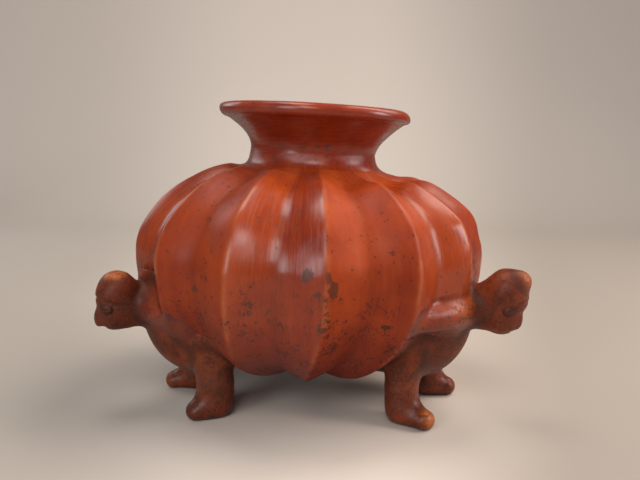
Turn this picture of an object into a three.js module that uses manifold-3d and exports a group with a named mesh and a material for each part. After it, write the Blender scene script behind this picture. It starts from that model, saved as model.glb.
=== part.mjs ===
// Squash effigy vessel: a hollow gourd body with keeled lobes and a flaring neck, carried by three crouching
// bearers who stand against it with their backs to its belly. It is hand-built in red-slipped clay: each
// piece was shaped by itself and luted to its neighbour, so each is its own solid here, with a thin seam
// between them. Millimetres, +Z up, the feet stand on z = 0.
import * as THREE from "three";
import { mergeVertices } from "three/addons/utils/BufferGeometryUtils.js";
import Module from "manifold-3d";

const wasm = await Module();
wasm.setup();

// The seam of slip left between two luted pieces
const seam = 0.3;

// The gourd. Its outline is two curves that meet at the widest level, the girth.
const crestRadius = 131; // from the axis to a lobe's crest, at the girth
const girthHeight = 112;
const undersideHeight = 19;
const bellyFlat = 95; // how far the underside runs out level before it turns up
const bellyUpright = 50; // how far below the girth the wall starts to turn in
const shoulderHeight = 176; // the level of the ring that the neck stands on
const shoulderUpright = 32;
const shoulderFlat = 38;
const lobeCount = 14;
const lobeDepth = 9.5; // from crest to valley, at the girth
const keelSharpness = 0.72; // 1 is a round crest, less is a sharper keel
const depthFade = 0.65; // how fast the valleys grow shallow as the lobes narrow towards the underside
const lobeRunout = 14; // from the neck's foot out to where the lobes have their full depth
const frontCrest = -85.4; // degrees, the azimuth of the crest that faces the front
const keelSwing = 4.5; // degrees that the keels turn clockwise on their way down to the underside
// The potter's slips: how far each keel stands from its even place, in degrees, counterclockwise from the
// front
const keelSlips = [0.6, 1.8, -0.8, 0.9, -1.2, 0.5, 1.1, -0.7, 0.4, -1.3, 0.8, 1.0, -2.2, -1.2];
const gourdWall = 7;
const gourdLean = 1.6; // degrees, towards +X: the potter set it slightly askew on its bearers
// The shoulder has sagged towards one side, where the wet clay also swelled out below it.
const sagAzimuth = -15; // degrees
const sagDepth = 5.5; // at the neck's foot, on that side
const sagRadius = 111; // from the axis out to where the sag runs out
const swellDepth = 3.2;
const swellRise = 30; // its middle above the girth
const swellReach = 14; // how far it spreads up and down from there

// The neck
const neckFootRadius = 54;
const neckFootLand = 8; // width of the flat ring that the neck stands on
const neckWaistRadius = 47.5;
const neckWaistRise = 9; // from the foot up to the waist
const neckHeight = 43; // from the foot up to the top of the lip
const neckWall = 7;
const lipRadius = 72;
const lipThickness = 9.5;
const lipDip = 1.1; // degrees, towards +X
const neckBow = 2.4; // how far the collar is pushed that way between its waist and its lip

// A bearer's torso
const torsoReach = 29; // half its size from back to belly
const torsoHalfWidth = 38;
const torsoHalfHeight = 33;
const torsoDrop = 50; // its centre below the girth
const torsoStand = 19; // its centre inside the gourd's crest line at that height
const hipSpread = 0.1; // how much wider the hips are than the middle

// A bearer's head and nape
const headHeight = 44;
const headHalfWidth = 15.5;
const headHalfDepth = 13.5;
const headRise = 2.5; // how far the right bearer's head stands above the common level
const headDrop = 26; // its centre below the girth
const headStand = 6.5; // the back of it out from the gourd's crest line at that height
const napeHalfWidth = 12.5;
const napeBottom = 21; // its underside below the head's centre
const napeTop = 9; // its upper side above the head's centre, where it meets the gourd
const napeFlare = 9.5; // how much higher its upper side is at the head
const noseReach = 2.4;
const noseHalfWidth = 3.2;
const noseHalfLength = 6;
const eyeLength = 8;
const eyeHeight = 4.8;
const eyeThickness = 2.2;
const eyeSpread = 52; // degrees, from the middle of the face to the middle of an eye
const eyeHang = 12; // degrees that its outer end hangs
const topknotRadius = 6.5;
const topknotSink = 3; // its middle in from the brow's skin
// The levels of the nose, the eyes and the topknot, as shares of the head's height from its middle
const noseLevel = -0.22;
const eyeLevel = -0.05;
const topknotLevel = 0.36;

// A bearer's arms
const armHalfHeight = 10;
const armThickness = 8; // from its middle to its outer side
const shoulderDrop = 32; // the shoulder below the girth
const handDrop = 8; // how much lower the left bearer's hands are
const shoulderAngle = 4; // degrees round the gourd from the bearer's middle
const handAngle = 28;
const shoulderStand = 2; // the arm's middle out from the crest line, at the shoulder
const handSink = 5; // and in from it, at the hand

// A bearer's legs
const legSpacing = 58; // between the two legs' middles
const legInset = 44; // a leg's middle inside the gourd's crest line at the girth
const thighRadius = 14.5;
const ankleRadius = 11;
const ankleHeight = 15;
const heelReach = 11; // from the leg's middle back to the heel
const toeReach = 24; // and forward to the toes
const footHalfWidth = 11.5;
const instepHeight = 20;
const toeHeight = 13;
const soleCut = 1.2; // how much of the round underside is flattened to stand on

// The three bearers are alike, but each was shaped by hand. A bearer faces its azimuth, in degrees, its head
// tips forward by a slope, and its feet are turned out by their splay, in degrees. The other values are shares
// of the sizes above: how high its head sits and how deep it is, how far its hands drop from the level of its
// shoulders, how far in its legs stand and how thick they are at the ankle, and how far a foot reaches back
// and forward.
const bearers = [
  {
    name: "left_bearer", azimuth: 202.5, topknot: false,
    rise: -1, tip: 0, depth: 0.96, drop: 1, inset: 1.08, ankle: 1.09,
    feet: { left: { splay: 12, heel: 0.96, toe: 0.92 }, right: { splay: 12, heel: 1, toe: 1.08 } },
  },
  {
    name: "right_bearer", azimuth: 333, topknot: true,
    rise: 1, tip: 0.25, depth: 1.04, drop: 0, inset: 0.966, ankle: 0.9,
    feet: { left: { splay: 16, heel: 1, toe: 0.94 }, right: { splay: 16, heel: 0.77, toe: 1.1 } },
  },
  {
    name: "back_bearer", azimuth: 89, topknot: false,
    rise: 0, tip: 0.1, depth: 1, drop: 0.5, inset: 1, ankle: 1,
    feet: { left: { splay: 14, heel: 1.09, toe: 0.96 }, right: { splay: 14, heel: 1.09, toe: 1 } },
  },
];

const degrees = THREE.MathUtils.degToRad;
const mix = THREE.MathUtils.lerp;
const forward = new THREE.Vector3(1, 0, 0);
const leftward = new THREE.Vector3(0, 1, 0);
const upward = new THREE.Vector3(0, 0, 1);

const clay = {
  gourd: new THREE.MeshStandardMaterial({ color: 0x9c3a22, roughness: 0.34, metalness: 0 }),
  neck: new THREE.MeshStandardMaterial({ color: 0x86291b, roughness: 0.32, metalness: 0 }),
  limb: new THREE.MeshStandardMaterial({ color: 0x93452c, roughness: 0.42, metalness: 0 }),
  bearer: new THREE.MeshStandardMaterial({ color: 0x74402a, roughness: 0.55, metalness: 0 }),
};

// A closed body through a row of rings, which run counterclockwise about the way that the row goes.
function loft(rings) {
  const sides = rings[0].length;
  const middle = (ring) => ring.reduce((sum, p) => sum.add(p), new THREE.Vector3()).divideScalar(sides);
  const points = [...rings.flat(), middle(rings[0]), middle(rings.at(-1))];
  const first = points.length - 2;
  const last = points.length - 1;
  const faces = [];
  for (let j = 0; j < sides; j++) {
    const next = (j + 1) % sides;
    faces.push(first, next, j);
    faces.push(last, (rings.length - 1) * sides + j, (rings.length - 1) * sides + next);
    for (let i = 0; i + 1 < rings.length; i++) {
      const a = i * sides;
      const b = a + sides;
      faces.push(a + j, a + next, b + j, a + next, b + next, b + j);
    }
  }
  return new THREE.BufferGeometry().setFromPoints(points).setIndex(faces);
}

// An ellipse in the plane of two directions
function ellipse(centre, across, up, halfAcross, halfUp, sides) {
  return Array.from({ length: sides }, (_, j) => {
    const angle = (2 * Math.PI * j) / sides;
    return centre
      .clone()
      .addScaledVector(across, halfAcross * Math.cos(angle))
      .addScaledVector(up, halfUp * Math.sin(angle));
  });
}

function solidOf(geometry) {
  const bare = geometry.clone();
  bare.deleteAttribute("normal");
  bare.deleteAttribute("uv");
  const merged = mergeVertices(bare, 1e-4);
  return new wasm.Manifold(
    new wasm.Mesh({
      numProp: 3,
      vertProperties: merged.attributes.position.array,
      triVerts: new Uint32Array(merged.index.array),
    }),
  );
}

function meshOf(name, solid, material) {
  const { vertProperties, triVerts } = solid.getMesh();
  const geometry = new THREE.BufferGeometry();
  geometry.setAttribute("position", new THREE.BufferAttribute(vertProperties, 3));
  geometry.setIndex(new THREE.BufferAttribute(triVerts, 1));
  geometry.computeVertexNormals();
  const mesh = new THREE.Mesh(geometry, material);
  mesh.name = name;
  return mesh;
}

// How finely the gourd is facetted: flats in one lobe, from valley to valley, and rows from bottom to top
const lobeSteps = 6;
const gourdRows = 18;

// The gourd's outline in section, from the middle of the underside to the neck's foot
const belly = new THREE.CubicBezierCurve(
  new THREE.Vector2(0, undersideHeight),
  new THREE.Vector2(bellyFlat, undersideHeight),
  new THREE.Vector2(crestRadius, girthHeight - bellyUpright),
  new THREE.Vector2(crestRadius, girthHeight),
);
const shoulder = new THREE.CubicBezierCurve(
  new THREE.Vector2(crestRadius, girthHeight),
  new THREE.Vector2(crestRadius, girthHeight + shoulderUpright),
  new THREE.Vector2(neckFootRadius + shoulderFlat, shoulderHeight),
  new THREE.Vector2(neckFootRadius, shoulderHeight),
);
const outline = new THREE.CurvePath();
outline.add(belly);
outline.add(shoulder);

// The radius of the gourd's crest line at a height below the girth
function crestRadiusAt(height) {
  let low = 0;
  let high = 1;
  for (let step = 0; step < 30; step++) {
    const middle = (low + high) / 2;
    if (belly.getPoint(middle).y < height) low = middle;
    else high = middle;
  }
  return belly.getPoint(low).x;
}

// How deep the valleys are at a point of the outline: they narrow with the lobes and run out at the neck.
function valleyDepth(point) {
  const narrowing = (point.x / crestRadius) ** depthFade;
  const nearNeck =
    point.y > girthHeight
      ? THREE.MathUtils.smoothstep(point.x, neckFootRadius, neckFootRadius + lobeRunout)
      : 1;
  return lobeDepth * narrowing * nearNeck;
}

// The azimuth of a point round the gourd, in lobes from the front keel, at a height
function azimuthOf(lobes, height) {
  const keelAt = (lobe) => (360 / lobeCount) * lobe + keelSlips[(lobe % lobeCount) % keelSlips.length];
  const before = Math.floor(lobes);
  const fromFront = mix(keelAt(before), keelAt(before + 1), lobes - before);
  const swing = keelSwing * (1 - THREE.MathUtils.smoothstep(height, undersideHeight, 0.85 * girthHeight));
  return degrees(frontCrest + fromFront - swing);
}

// Moves a point of the upright gourd, or of the neck's foot on it, with the sag and the swell of the shoulder
function slumped(point) {
  const radius = Math.hypot(point.x, point.y);
  const direction = degrees(sagAzimuth);
  const facing = (point.x * Math.cos(direction) + point.y * Math.sin(direction)) / Math.max(radius, 1);
  const aboveGirth = point.z > girthHeight ? 1 : 0;
  const nearNeck = 1 - THREE.MathUtils.smoothstep(radius, 0.72 * sagRadius, sagRadius);
  const tilt = facing * Math.min(1, radius / neckFootRadius);
  const sag = (sagDepth * aboveGirth * nearNeck * (1 + tilt)) / 2;
  const fromSwell = (point.z - girthHeight - swellRise) / swellReach;
  const onSide = THREE.MathUtils.smoothstep(facing, 0.5, 1);
  const swell = aboveGirth * swellDepth * onSide * Math.exp(-fromSwell * fromSwell);
  const outward = (swell * 0.8) / Math.max(radius, 1);
  return new THREE.Vector3(
    point.x * (1 + outward),
    point.y * (1 + outward),
    point.z - sag + swell * 0.6,
  );
}

// The gourd's lobed skin as a closed body, set out from the outline by grow, or in where it is negative
function gourdSkin(grow, stepsPerLobe, rows) {
  const sides = lobeCount * stepsPerLobe;
  const rings = [];
  for (let i = 1; i <= rows; i++) {
    const point = outline.getPoint(i / rows);
    const along = outline.getTangent(i / rows);
    const outward = new THREE.Vector2(along.y, -along.x);
    const depth = valleyDepth(point);
    rings.push(
      Array.from({ length: sides }, (_, j) => {
        const phase = (j % stepsPerLobe) / stepsPerLobe;
        const fromCrest = 2 * Math.min(phase, 1 - phase);
        const sunk = (1 - Math.cos(Math.PI * fromCrest ** keelSharpness)) / 2;
        const place = point.clone().addScaledVector(outward, grow - depth * sunk);
        const azimuth = azimuthOf(j / stepsPerLobe, point.y);
        const upright = new THREE.Vector3(place.x * Math.cos(azimuth), place.x * Math.sin(azimuth), place.y);
        return slumped(upright);
      }),
    );
  }
  return loft(rings);
}

// The gourd and its neck lean together about the middle of the girth.
const lean = new THREE.Matrix4()
  .makeTranslation(0, 0, girthHeight)
  .multiply(new THREE.Matrix4().makeRotationY(degrees(gourdLean)))
  .multiply(new THREE.Matrix4().makeTranslation(0, 0, -girthHeight));

function makeGourd() {
  const mouthRadius = neckFootRadius - neckFootLand;
  const mouth = new THREE.CylinderGeometry(mouthRadius, mouthRadius, 4 * gourdWall, 48);
  mouth.rotateX(Math.PI / 2).translate(0, 0, shoulderHeight);
  return solidOf(gourdSkin(0, lobeSteps, gourdRows))
    .subtract(solidOf(gourdSkin(-gourdWall, lobeSteps - 2, gourdRows - 8)))
    .subtract(solidOf(mouth));
}

// The neck: a waisted collar that stands on the shoulder's ring and flares to a thick rounded lip
function makeNeck() {
  const foot = shoulderHeight + seam;
  const waist = foot + neckWaistRise;
  const top = foot + neckHeight;
  const lip = lipThickness / 2;
  const flare = lipRadius - neckWaistRadius;
  const throat = neckWaistRadius - neckWall;
  const path = new THREE.Path();
  path.moveTo(neckFootRadius - neckFootLand, foot);
  path.lineTo(neckFootRadius, foot);
  path.bezierCurveTo(
    mix(neckWaistRadius, neckFootRadius, 0.4), mix(foot, waist, 0.15),
    neckWaistRadius, mix(foot, waist, 0.5),
    neckWaistRadius, waist,
  );
  path.bezierCurveTo(
    neckWaistRadius, mix(waist, top, 0.3),
    neckWaistRadius + 0.4 * flare, mix(waist, top - lipThickness, 0.77),
    lipRadius - lip, top - lipThickness,
  );
  path.absarc(lipRadius - lip, top - lip, lip, -Math.PI / 2, Math.PI / 2, false);
  path.bezierCurveTo(
    throat + 0.62 * flare, mix(waist, top, 0.85),
    throat, mix(waist, top, 0.4),
    throat, waist,
  );
  path.bezierCurveTo(
    throat, mix(foot, waist, 0.5),
    neckFootRadius - neckFootLand, mix(foot, waist, 0.3),
    neckFootRadius - neckFootLand, foot,
  );
  const collar = new THREE.LatheGeometry(path.getPoints(4), 36);
  collar.rotateX(Math.PI / 2);
  const place = collar.attributes.position;
  const point = new THREE.Vector3();
  for (let i = 0; i < place.count; i++) {
    point.fromBufferAttribute(place, i);
    const onWaist = THREE.MathUtils.smoothstep(point.z, foot, waist);
    const towardsLip = THREE.MathUtils.clamp((point.z - waist) / (top - waist), 0, 1);
    point.lerpVectors(slumped(point), point, onWaist);
    point.z -= Math.tan(degrees(lipDip)) * towardsLip * point.x;
    point.x += neckBow * Math.sin(Math.PI * towardsLip);
    place.setXYZ(i, point.x, point.y, point.z);
  }
  return solidOf(collar);
}

// A bearer's pieces are made in its own frame: +X is the way that it faces, +Y its left side, and the gourd's
// axis is at x = 0.
const torsoHeight = girthHeight - torsoDrop;
const torsoCentre = new THREE.Vector3(crestRadiusAt(torsoHeight) - torsoStand, 0, torsoHeight);

// The torso: an egg that sits under the gourd's belly, a little wider at the hips
function makeTorso(grow) {
  const egg = new THREE.SphereGeometry(1, 18, 12);
  const place = egg.attributes.position;
  for (let i = 0; i < place.count; i++) {
    place.setXYZ(
      i,
      torsoCentre.x + (torsoReach + grow) * place.getX(i),
      torsoCentre.y + (torsoHalfWidth + grow) * place.getY(i) * (1 - hipSpread * place.getZ(i)),
      torsoCentre.z + (torsoHalfHeight + grow) * place.getZ(i),
    );
  }
  return solidOf(egg);
}

function headCentreOf({ rise, depth }) {
  const middle = girthHeight - headDrop + headRise * rise;
  return new THREE.Vector3(crestRadiusAt(middle) + headStand + headHalfDepth * depth, 0, middle);
}

// The head in level rings from chin to crown, as shares of its height, half depth and half width
const headRows = [
  { up: -0.5, forward: 0.25, depth: 0.2, width: 0.2 },
  { up: -0.46, forward: 0.22, depth: 0.5, width: 0.46 },
  { up: -0.36, forward: 0.2, depth: 0.8, width: 0.68 },
  { up: -0.2, forward: 0.12, depth: 0.92, width: 0.85 },
  { up: 0, forward: 0, depth: 0.95, width: 0.96 },
  { up: 0.16, forward: 0, depth: 1, width: 1 },
  { up: 0.3, forward: -0.01, depth: 0.94, width: 0.93 },
  { up: 0.41, forward: -0.02, depth: 0.76, width: 0.74 },
  { up: 0.475, forward: -0.02, depth: 0.48, width: 0.46 },
  { up: 0.5, forward: -0.02, depth: 0.16, width: 0.16 },
];

// A point on a bearer's face, at a share of the head's height and an angle from the middle of the face
function onFace(bearer, share, angle) {
  const centre = headCentreOf(bearer);
  const above = headRows.findIndex((row) => row.up > share);
  const [low, high] = [headRows[above - 1], headRows[above]];
  const part = (share - low.up) / (high.up - low.up);
  const size = (key) => mix(low[key], high[key], part);
  return new THREE.Vector3(
    centre.x + share * headHeight * bearer.tip +
      headHalfDepth * bearer.depth * (size("forward") + size("depth") * Math.cos(angle)),
    headHalfWidth * size("width") * Math.sin(angle),
    centre.z + share * headHeight,
  );
}

// A head with its nape and nose, which were drawn from one lump
function makeHead(bearer, grow) {
  const head = headCentreOf(bearer);
  const fullDepth = headHalfDepth * bearer.depth;
  const skull = headRows.map((row) => {
    const halfDepth = row.depth * fullDepth + grow;
    const halfWidth = row.width * headHalfWidth + grow;
    const centre = head.clone();
    centre.x += row.forward * fullDepth + row.up * headHeight * bearer.tip;
    centre.z += row.up * (headHeight + 2 * grow);
    return ellipse(centre, forward, leftward, halfDepth, halfWidth, 12);
  });
  const napeReach = 2 * (headStand + fullDepth);
  const nape = [0, 0.4, 0.75, 1].map((share) => {
    const top = napeTop + napeFlare * share;
    const centre = head.clone();
    centre.x -= (1 - share) * napeReach;
    centre.z += (top - napeBottom) / 2;
    return ellipse(centre, leftward, upward, napeHalfWidth + grow, (top + napeBottom) / 2 + grow, 12);
  });
  const nose = new THREE.SphereGeometry(1, 8, 6);
  const bridge = onFace(bearer, noseLevel, 0);
  nose.scale(noseReach + grow, noseHalfWidth + grow, noseHalfLength + grow);
  nose.translate(bridge.x, bridge.y, bridge.z);
  return solidOf(loft(skull)).add(solidOf(loft(nape))).add(solidOf(nose));
}

// An eye: a flattened almond pellet laid on the cheek, a little lower at its outer end
function makeEye(bearer, side) {
  const place = onFace(bearer, eyeLevel, degrees(eyeSpread));
  const pellet = new THREE.SphereGeometry(1, 8, 6);
  pellet.scale(eyeThickness, eyeLength / 2, eyeHeight / 2);
  pellet.rotateX(degrees(-eyeHang));
  pellet.rotateZ(degrees(eyeSpread));
  pellet.translate(place.x, place.y, place.z);
  if (side < 0) {
    pellet.scale(1, -1, 1);
    pellet.setIndex(Array.from(pellet.index.array).reverse());
  }
  return solidOf(pellet);
}

// The knot of hair over one bearer's brow
function makeTopknot(bearer) {
  const brow = onFace(bearer, topknotLevel, 0);
  const knot = new THREE.SphereGeometry(topknotRadius, 12, 8);
  return solidOf(knot.translate(brow.x - topknotSink, brow.y, brow.z));
}

// An arm: a tapering roll that lies along the gourd, from beside the nape to the hand
function makeArm({ drop }, side) {
  const along = (share) => {
    const angle = side * degrees(mix(shoulderAngle, handAngle, share));
    const height = girthHeight - shoulderDrop - handDrop * drop * share;
    const radius = crestRadiusAt(height) + mix(shoulderStand, -handSink, share);
    return new THREE.Vector3(radius * Math.cos(angle), radius * Math.sin(angle), height);
  };
  const rings = [0, 0.25, 0.5, 0.7, 0.85, 0.95, 1].map((share) => {
    const way = along(share + 0.05).sub(along(share - 0.05)).normalize();
    const across = new THREE.Vector3().crossVectors(upward, way).normalize();
    const up = new THREE.Vector3().crossVectors(way, across);
    const roundEnd = Math.sqrt(1 - Math.max(0, (share - 0.7) / 0.31) ** 2);
    return ellipse(along(share), across, up, armThickness * roundEnd, armHalfHeight * roundEnd, 10);
  });
  return solidOf(loft(rings));
}

// A leg: a stout column from the hip to the floor, drawn in at the ankle, with a foot on a flat sole
function makeLeg({ inset, ankle }, { splay, heel, toe }, side) {
  const middle = new THREE.Vector3(crestRadius - legInset * inset, (side * legSpacing) / 2, 0);
  const shin = ankleHeight / 2;
  const column = [shin, ankleHeight, mix(ankleHeight, torsoHeight, 0.4), torsoHeight].map((height) => {
    const widening = THREE.MathUtils.smoothstep(height, shin, torsoHeight);
    const radius = mix(ankleRadius * ankle, thighRadius, widening);
    return ellipse(middle.clone().setZ(height), forward, leftward, radius, radius, 12);
  });
  const turn = side * degrees(splay);
  const way = new THREE.Vector3(Math.cos(turn), Math.sin(turn), 0);
  const across = new THREE.Vector3().crossVectors(upward, way);
  const foot = [0.01, 0.07, 0.22, 0.45, 0.68, 0.88, 0.98].map((share) => {
    const roundEnd = Math.sqrt(1 - Math.abs(2 * share - 1) ** 3);
    const halfHeight = (mix(instepHeight, toeHeight, share) + soleCut) / 2;
    const centre = middle.clone().addScaledVector(way, mix(-heelReach * heel, toeReach * toe, share));
    centre.z = halfHeight - soleCut;
    return ellipse(centre, across, upward, footHalfWidth * roundEnd, halfHeight * roundEnd, 12);
  });
  const floorSize = 4 * (heelReach + toeReach);
  const ground = new THREE.BoxGeometry(floorSize, floorSize, instepHeight);
  ground.translate(middle.x, middle.y, -instepHeight / 2);
  return solidOf(loft(column)).add(solidOf(loft(foot))).subtract(solidOf(ground));
}

// A bearer's pieces, each cut back by the pieces that it was luted on to
function makeBearer(bearer) {
  const { name, azimuth, feet } = bearer;
  const toBearer = new THREE.Matrix4().makeRotationZ(degrees(-azimuth)).multiply(lean);
  const gourdRoom = solidOf(gourdSkin(seam, lobeSteps, gourdRows).applyMatrix4(toBearer));
  const torsoRoom = makeTorso(seam);
  const headRoom = makeHead(bearer, seam);
  const torso = makeTorso(0).subtract(gourdRoom);
  const head = makeHead(bearer, 0).subtract(gourdRoom).subtract(torsoRoom);
  const figure = new THREE.Group();
  figure.rotation.z = degrees(azimuth);
  figure.add(meshOf(`${name}_torso`, torso, clay.bearer));
  figure.add(meshOf(`${name}_head`, head, clay.bearer));
  for (const [hand, side] of [["left", 1], ["right", -1]]) {
    const arm = makeArm(bearer, side).subtract(gourdRoom).subtract(torsoRoom).subtract(headRoom);
    const leg = makeLeg(bearer, feet[hand], side).subtract(gourdRoom).subtract(torsoRoom);
    const eye = makeEye(bearer, side).subtract(headRoom);
    figure.add(meshOf(`${name}_${hand}_arm`, arm, clay.limb));
    figure.add(meshOf(`${name}_${hand}_leg`, leg, clay.bearer));
    figure.add(meshOf(`${name}_${hand}_eye`, eye, clay.bearer));
  }
  if (bearer.topknot) {
    figure.add(meshOf(`${name}_topknot`, makeTopknot(bearer).subtract(headRoom), clay.limb));
  }
  return figure;
}

const vessel = new THREE.Group();
const pot = new THREE.Group();
pot.add(meshOf("gourd", makeGourd(), clay.gourd));
pot.add(meshOf("neck", makeNeck(), clay.neck));
pot.applyMatrix4(lean);
vessel.add(pot);
for (const bearer of bearers) vessel.add(makeBearer(bearer));

// The origin is the middle of the footprint, on the floor.
vessel.updateMatrixWorld(true);
const footprint = new THREE.Box3().setFromObject(vessel, true).getCenter(new THREE.Vector3());
vessel.position.set(-footprint.x, -footprint.y, 0);

export default vessel;
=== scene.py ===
import functools
import math

import bpy
import numpy as np
from mathutils import Matrix, Vector


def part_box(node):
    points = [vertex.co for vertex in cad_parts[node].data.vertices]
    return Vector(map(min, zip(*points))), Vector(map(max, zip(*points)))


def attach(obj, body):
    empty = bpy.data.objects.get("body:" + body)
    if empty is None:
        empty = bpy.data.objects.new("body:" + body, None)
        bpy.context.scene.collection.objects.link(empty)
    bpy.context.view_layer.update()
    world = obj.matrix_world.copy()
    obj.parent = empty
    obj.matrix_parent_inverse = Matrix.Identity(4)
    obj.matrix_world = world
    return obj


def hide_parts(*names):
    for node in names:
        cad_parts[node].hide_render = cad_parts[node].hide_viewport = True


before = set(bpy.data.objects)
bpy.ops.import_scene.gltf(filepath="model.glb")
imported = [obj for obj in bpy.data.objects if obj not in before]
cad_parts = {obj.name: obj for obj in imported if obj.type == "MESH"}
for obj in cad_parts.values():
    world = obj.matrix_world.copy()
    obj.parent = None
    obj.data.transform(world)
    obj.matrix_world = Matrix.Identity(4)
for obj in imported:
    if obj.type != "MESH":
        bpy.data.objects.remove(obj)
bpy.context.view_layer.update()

# The place of the vessel's axis, in millimetres: the gourd's box is centred on it. All the making below is in
# millimetres from this axis, and only the finished meshes are in metres.
low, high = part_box("gourd")
AXIS = np.array([(low.x + high.x) * 500, (low.y + high.y) * 500, 0.0])


# The camera stands a little above the shoulder and looks down on the vessel, with the picture tipped by half a
# degree. It is a 35 mm lens on a 36 mm sensor, half a metre from the vessel's axis.
CAMERA_SIDE = 7.7
CAMERA_DISTANCE = 481
CAMERA_HEIGHT = 194
CAMERA_PITCH = 9
CAMERA_ROLL = 0.5
camera_data = bpy.data.cameras.new("camera")
camera_data.sensor_width = 36
camera_data.lens = 35
camera_data.clip_end = 20
camera = bpy.data.objects.new("camera", camera_data)
camera.matrix_world = (
    Matrix.Translation(Vector(AXIS + (CAMERA_SIDE, -CAMERA_DISTANCE, CAMERA_HEIGHT)) / 1000)
    @ Matrix.Rotation(math.radians(90 - CAMERA_PITCH), 4, "X")
    @ Matrix.Rotation(math.radians(CAMERA_ROLL), 4, "Z")
)
bpy.context.scene.collection.objects.link(camera)
bpy.context.scene.camera = camera
bpy.context.scene.view_settings.view_transform = "Standard"


# The table and backdrop: one sheet of pale warm grey paper that lies under the vessel and sweeps up behind it. It
# is matt, so it takes only a soft shadow under the belly.
SWEEP_HALF_WIDTH = 2500
SWEEP_FRONT = -1500
SWEEP_BEND = 900
SWEEP_RADIUS = 700
SWEEP_TOP = 2200
PAPER_SHADE_FAN = 620  # how far in front of the origin the lines meet along which painted shade darkens it to the sides
PAPER = "#B0A49A"
PAPER_SEEN = "#D9C9BC"  # the paper as the camera exposes it
BACKDROP_GLOW = 0.33  # how much the sweep behind brightens towards the camera


def hex_colour(code):
    """An sRGB hex colour as linear RGBA."""
    parts = [int(code[i : i + 2], 16) / 255 for i in (1, 3, 5)]
    return tuple(c / 12.92 if c <= 0.04045 else ((c + 0.055) / 1.055) ** 2.4 for c in parts) + (1.0,)


def add_node(tree, kind, inputs=(), output=0, **settings):
    """Adds a shader node with its settings, sets or links its inputs, and gives back one of its outputs."""
    added = tree.nodes.new("ShaderNode" + kind)
    for name, value in settings.items():
        setattr(added, name, value)
    for name, value in inputs.items() if isinstance(inputs, dict) else enumerate(inputs):
        if isinstance(value, bpy.types.NodeSocket):
            tree.links.new(value, added.inputs[name])
        else:
            added.inputs[name].default_value = hex_colour(value) if isinstance(value, str) else value
    return added.outputs[output] if added.outputs else None


# Settings of a node that eases a value between two levels, and of one that mixes two colours
SMOOTH = {"interpolation_type": "SMOOTHSTEP"}
COLOURS = {"data_type": "RGBA", "output": 2}


def new_material(name):
    """A material and its empty tree."""
    material = bpy.data.materials.new(name)
    material.use_nodes = True
    material.node_tree.nodes.clear()
    return material, material.node_tree


def mesh_object(name, points, faces, material, traits=None):
    """A smooth-shaded object in the scene, from points in millimetres, with the shares its material reads. A
    share that isn't given is nought."""
    mesh = bpy.data.meshes.new(name)
    mesh.vertices.add(len(points))
    mesh.vertices.foreach_set("co", ((points + AXIS) / 1000).astype(np.float32).ravel())
    sizes = np.array([len(face) for face in faces], np.int32)
    mesh.loops.add(int(sizes.sum()))
    mesh.loops.foreach_set("vertex_index", np.concatenate([np.asarray(f, np.int32) for f in faces]))
    mesh.polygons.add(len(faces))
    mesh.polygons.foreach_set("loop_start", np.concatenate([[0], np.cumsum(sizes)[:-1]]).astype(np.int32))
    mesh.update(calc_edges=True)
    mesh.validate()
    mesh.shade_smooth()
    for trait, values in (traits or {}).items():
        values = np.broadcast_to(np.asarray(values, np.float32), len(points))
        mesh.attributes.new(trait, "FLOAT", "POINT").data.foreach_set("value", np.ascontiguousarray(values))
    made = bpy.data.objects.new(name, mesh)
    mesh.materials.append(material)
    bpy.context.scene.collection.objects.link(made)
    return made


def paper_sweep():
    """Matt uncoated paper, with no sheen. The camera sees it paler than it bounces light, a little mottled, with
    painted shade that darkens it towards both sides along lines that fan out from the front, and brighter where it
    rises behind."""
    material, tree = new_material("matt_background_paper")
    node = functools.partial(add_node, tree)
    place = node("TexCoord", output="Object")
    mottle = node("TexNoise", {"Vector": place, "Scale": 2.0, "Detail": 2.0})
    seen = node("Mix", {0: mottle, 6: "#D3C3B6", 7: PAPER_SEEN}, **COLOURS)
    x, y = (node("SeparateXYZ", [place], output=axis) for axis in (0, 1))
    from_shade_fan = node("Math", [y, PAPER_SHADE_FAN / 1000], operation="ADD")
    across = node("Math", [x, from_shade_fan], operation="DIVIDE")
    # Painted shade: the paper grows darker towards the right and the left side
    for near, far, shade in ((0.06, 0.36, "#A2958A"), (-0.08, -0.36, "#B6A89C")):
        share = node("MapRange", [across, near, far], **SMOOTH)
        seen = node("Mix", {0: share, 6: seen, 7: shade}, **COLOURS)
    from_camera = node("LightPath", output="Is Camera Ray")
    tone = node("Mix", {0: from_camera, 6: PAPER, 7: seen}, **COLOURS)
    behind = node("MapRange", [y, 0.1, 1.5, 0, BACKDROP_GLOW], **SMOOTH)
    glow = node("Math", [behind, from_camera], operation="MULTIPLY")
    surface = node(
        "BsdfPrincipled",
        {"Base Color": tone, "Roughness": 0.85, "Specular IOR Level": 0.2, "Emission Color": "#E6D5C8",
         "Emission Strength": glow},
    )
    node("OutputMaterial", {"Surface": surface})
    turn = np.linspace(0, math.pi / 2, 24)
    depth = np.concatenate([[SWEEP_FRONT], SWEEP_BEND + SWEEP_RADIUS * np.sin(turn), [SWEEP_BEND + SWEEP_RADIUS]])
    height = np.concatenate([[0], SWEEP_RADIUS * (1 - np.cos(turn)), [SWEEP_TOP]])
    sides = np.array([-SWEEP_HALF_WIDTH, SWEEP_HALF_WIDTH])
    points = np.array([(x, y, z) for y, z in zip(depth, height) for x in sides])
    faces = [(2 * i, 2 * i + 1, 2 * i + 3, 2 * i + 2) for i in range(len(depth) - 1)]
    return mesh_object("paper_sweep", points, faces, material)


paper_sweep()


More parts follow.
